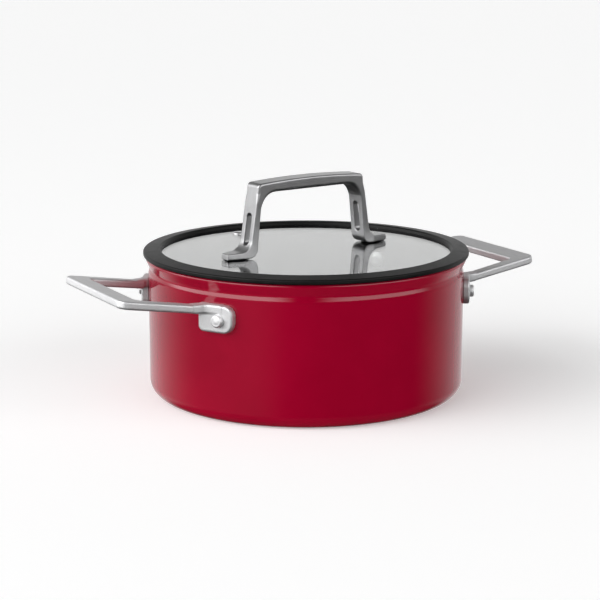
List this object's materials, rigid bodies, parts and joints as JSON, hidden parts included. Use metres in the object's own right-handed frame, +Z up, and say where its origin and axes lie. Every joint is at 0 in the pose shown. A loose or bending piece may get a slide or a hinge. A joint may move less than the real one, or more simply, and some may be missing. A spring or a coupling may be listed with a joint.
{
  "type": "stock pot",
  "caption": "Low round lidded pot with a red outer coat, riveted flat-bar loop handles and a flat glass lid in a black silicone rim with an arched metal handle.",
  "frame": {"origin": "centre of the base, on the surface the pot stands on", "axes": "+Z up along the pot's axis, +X and -X through the middles of the two side handles, -Y towards the front"},
  "size_m": [0.2948, 0.2058, 0.1379],
  "materials": {
    "pot_coat": "gloss",
    "base_steel": "satin",
    "handle_steel": "satin",
    "rivet_steel": "satin",
    "silicone": "matte",
    "lid_glass": "gloss",
    "vent_steel": "gloss",
    "lid_handle_steel": "satin",
    "screw_steel": "satin"
  },
  "bodies": {
    "pot": {"pot_body": "pot_coat", "base_disc": "base_steel", "side_handle_left": "handle_steel", "side_handle_right": "handle_steel", "rivet_left_front": "rivet_steel", "rivet_left_rear": "rivet_steel", "rivet_right_front": "rivet_steel", "rivet_right_rear": "rivet_steel"},
    "lid": {"lid_rim": "silicone", "lid_glass": "lid_glass", "steam_vent": "vent_steel", "lid_handle": "lid_handle_steel", "foot_pad_left": "silicone", "foot_pad_right": "silicone", "glass_bush_left": "silicone", "glass_bush_right": "silicone", "lid_washer_left": "screw_steel", "lid_washer_right": "screw_steel", "lid_screw_left": "screw_steel", "lid_screw_right": "screw_steel"}
  },
  "joints": [
    {"name": "lid_lift", "type": "slide", "parent": "pot", "child": "lid", "axis": [0, 0, 1], "range_m": [0, 0.12]}
  ]
}
